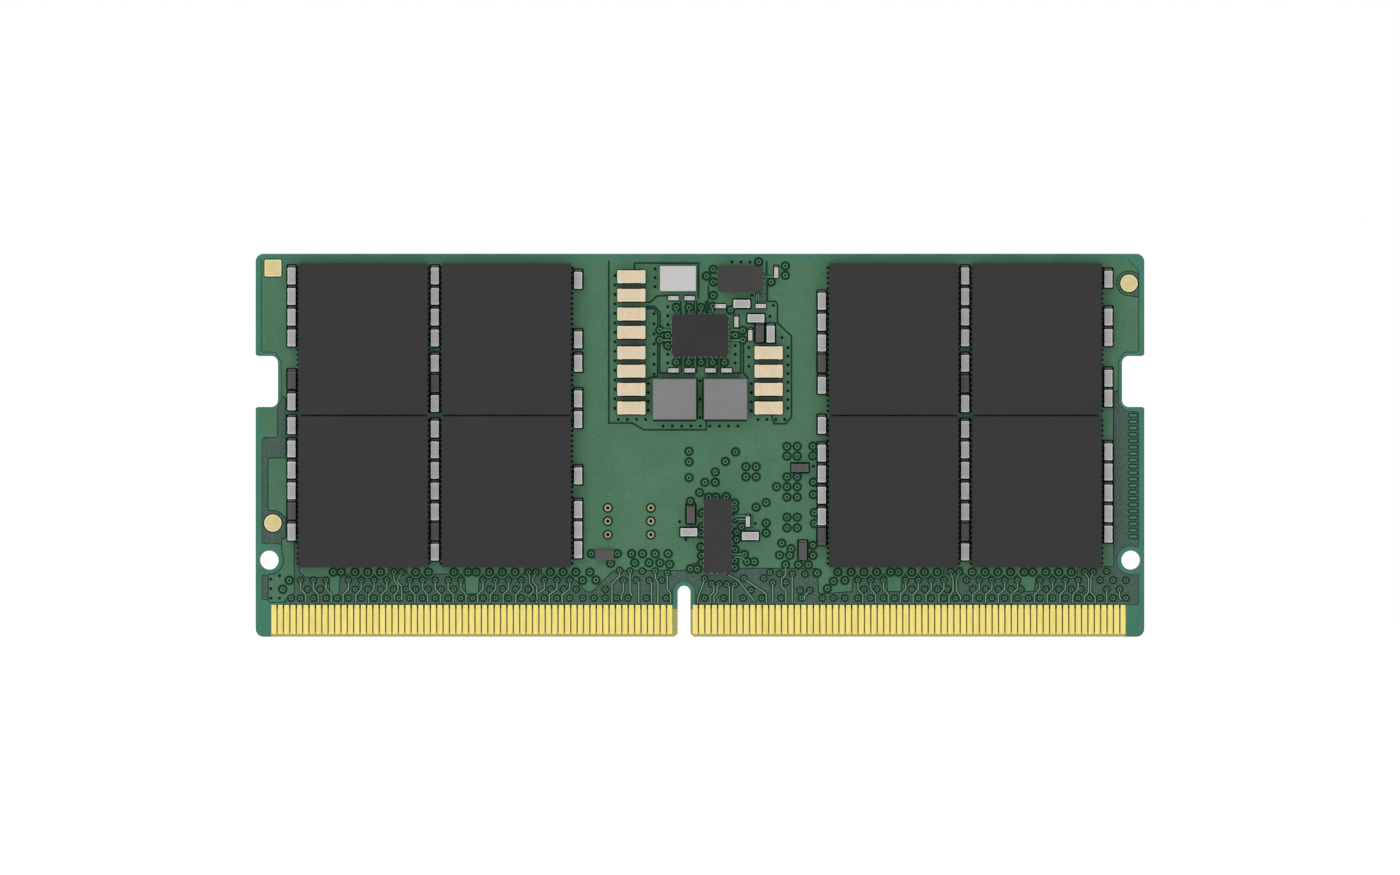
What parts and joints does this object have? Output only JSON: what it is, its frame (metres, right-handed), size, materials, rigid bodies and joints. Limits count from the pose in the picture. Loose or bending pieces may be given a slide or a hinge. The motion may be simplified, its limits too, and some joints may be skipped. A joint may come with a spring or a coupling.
{
  "type": "memory module",
  "caption": "Thin rectangular circuit card with a row of gold edge contacts, flat black memory packages on both faces and a small power supply.",
  "frame": {"origin": "middle of the card's leading contact edge, on the card's mid-plane, where the module enters its socket", "axes": "+X along the card's length, -Y out of the front face with the power supply on it, +Z away from the contact edge"},
  "size_m": [0.0696, 0.0034, 0.03],
  "materials": {
    "package_mould": "charcoal moulding compound, fine matte grain",
    "chip_mould": "dark grey moulding compound, matte",
    "laminate": "olive glass and epoxy laminate",
    "solder_mask": "green solder mask, satin gloss",
    "contact_gold": "hard gold plating, brushed along its length",
    "pad_gold": "soft pale gold plating",
    "package_substrate": "dark green package substrate",
    "silicon": "polished silicon die",
    "solder": "tin solder, satin",
    "tinned_lead": "matte tin plating",
    "inductor_core": "grey pressed powder core, fine matte grain",
    "pale_core": "pale grey ceramic, matte",
    "winding_copper": "enamelled copper",
    "capacitor_ceramic": "light grey fired ceramic",
    "capacitor_plating": "matte tin plating",
    "bulk_ceramic": "cream fired ceramic",
    "bulk_plating": "matte tin plating with a warm tone",
    "resistor_body": "dark overglazed ceramic",
    "resistor_plating": "dull tin plating"
  },
  "bodies": {
    "root": {"bulk_capacitor_bodies": "bulk_ceramic", "bulk_capacitor_terminals": "bulk_plating", "capacitor_bodies_back": "capacitor_ceramic", "capacitor_bodies_front": "capacitor_ceramic", "capacitor_terminals_back": "capacitor_plating", "capacitor_terminals_front": "capacitor_plating", "chip_dies": "silicon", "circuit_card": "laminate", "clock_chip_leads": "tinned_lead", "clock_chip_mould": "chip_mould", "component_pads_back": "pad_gold", "component_pads_front": "pad_gold", "edge_contacts_back": "contact_gold", "edge_contacts_front": "contact_gold", "fiducial_marks_back": "pad_gold", "fiducial_marks_front": "pad_gold", "hub_chip_leads": "tinned_lead", "hub_chip_mould": "chip_mould", "inductor_terminals": "tinned_lead", "inductor_windings": "winding_copper", "memory_dies_back": "silicon", "memory_dies_front": "silicon", "memory_mould_back_1": "package_mould", "memory_mould_back_2": "package_mould", "memory_mould_back_3": "package_mould", "memory_mould_back_4": "package_mould", "memory_mould_back_5": "package_mould", "memory_mould_back_6": "package_mould", "memory_mould_back_7": "package_mould", "memory_mould_back_8": "package_mould", "memory_mould_front_1": "package_mould", "memory_mould_front_2": "package_mould", "memory_mould_front_3": "package_mould", "memory_mould_front_4": "package_mould", "memory_mould_front_5": "package_mould", "memory_mould_front_6": "package_mould", "memory_mould_front_7": "package_mould", "memory_mould_front_8": "package_mould", "memory_solder_balls_back": "solder", "memory_solder_balls_front": "solder", "memory_substrates_back": "package_substrate", "memory_substrates_front": "package_substrate", "plated_hole_barrels": "pad_gold", "power_chip_leads": "tinned_lead", "power_chip_mould": "chip_mould", "power_inductor_cores": "inductor_core", "resistor_array_body": "resistor_body", "resistor_array_terminals": "resistor_plating", "resistor_bodies_back": "resistor_body", "resistor_bodies_front": "resistor_body", "resistor_terminals_back": "resistor_plating", "resistor_terminals_front": "resistor_plating", "small_capacitor_bodies": "capacitor_ceramic", "small_capacitor_terminals": "capacitor_plating", "small_inductor_core": "pale_core", "solder_joints_back": "solder", "solder_joints_front": "solder", "solder_mask_back": "solder_mask", "solder_mask_front": "solder_mask"}
  },
  "joints": []
}
